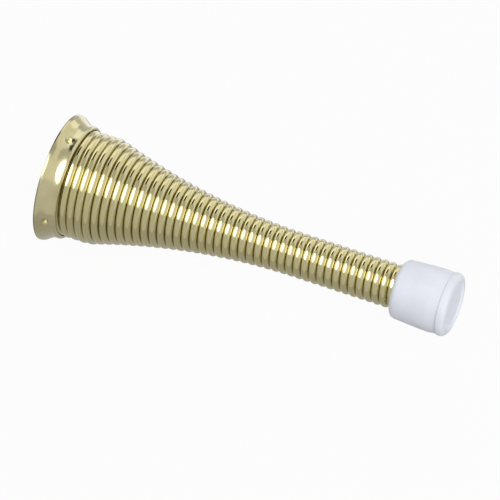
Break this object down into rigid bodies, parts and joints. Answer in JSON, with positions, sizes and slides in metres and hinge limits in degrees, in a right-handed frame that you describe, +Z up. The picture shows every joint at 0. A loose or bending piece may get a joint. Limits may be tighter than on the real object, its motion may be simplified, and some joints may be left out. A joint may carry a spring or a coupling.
{
  "type": "spring door stop",
  "caption": "Spring door stop: a flared, close-wound wire spring staked into a pressed wall cup, with a soft bumper cap on its slim end that meets the door.",
  "frame": {"origin": "centre of the screw hole at the cup's back face, on the wall", "axes": "+X along the spring, out of the wall towards the bumper; +Z up"},
  "size_m": [0.0825, 0.0254, 0.0254],
  "materials": {
    "brass_plated_sheet": "bright plated and lacquered",
    "brass_plated_wire": "bright plated drawn wire",
    "white_vinyl": "satin moulded"
  },
  "bodies": {
    "base": {"wall_base": "brass_plated_sheet", "spring": "brass_plated_wire"},
    "tip": {"bumper_tip": "white_vinyl"}
  },
  "joints": [
    {"name": "spring_flex", "type": "hinge", "parent": "base", "child": "tip", "pos_m": [0.028, 0, 0], "axis": [0, 0, 1], "range_deg": [-40, 40], "stiffness_Nm_per_rad": 0.033, "deforming": ["spring"]}
  ]
}
